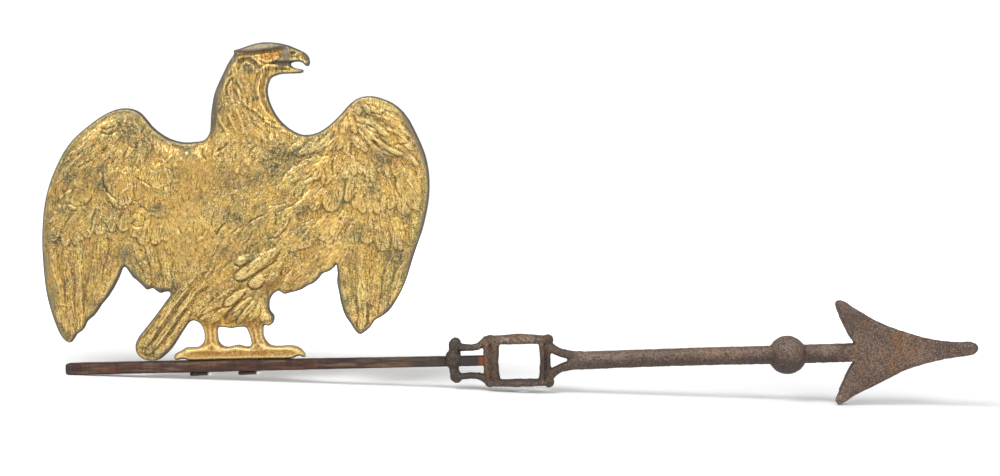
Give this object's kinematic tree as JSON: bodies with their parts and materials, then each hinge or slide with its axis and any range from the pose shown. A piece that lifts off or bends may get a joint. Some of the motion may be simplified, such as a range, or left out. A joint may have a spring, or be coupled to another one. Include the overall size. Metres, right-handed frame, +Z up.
{
  "type": "eagle weathervane",
  "caption": "Gilt cast eagle with spread wings on an iron arrow; the rectangular pivot frame turns on a roof spindle to show the wind.",
  "frame": {"origin": "middle of the flat floor of the bearing cup, inside the top bar of the pivot frame, on the spindle's line", "axes": "+X along the arrow to its point, +Z up along the spindle, -Y out of the front side"},
  "size_m": [0.933, 0.0413, 0.3755],
  "materials": {
    "gilded_casting": "worn gold leaf on a cast white-metal eagle, dull gold with dark grey-green specks, bare grey rims",
    "bar_iron": "wrought iron bar, smooth dark red-brown rust with black streaks",
    "rusty_cast_iron": "cast iron, old brown-grey pitted rust with orange spots",
    "pin_iron": "blackened iron pin, scratched bright where it is bent"
  },
  "bodies": {
    "root": {"eagle": "gilded_casting", "tail_bar": "bar_iron", "arrow": "rusty_cast_iron", "pin_left": "pin_iron", "pin_right": "pin_iron"}
  },
  "joints": []
}
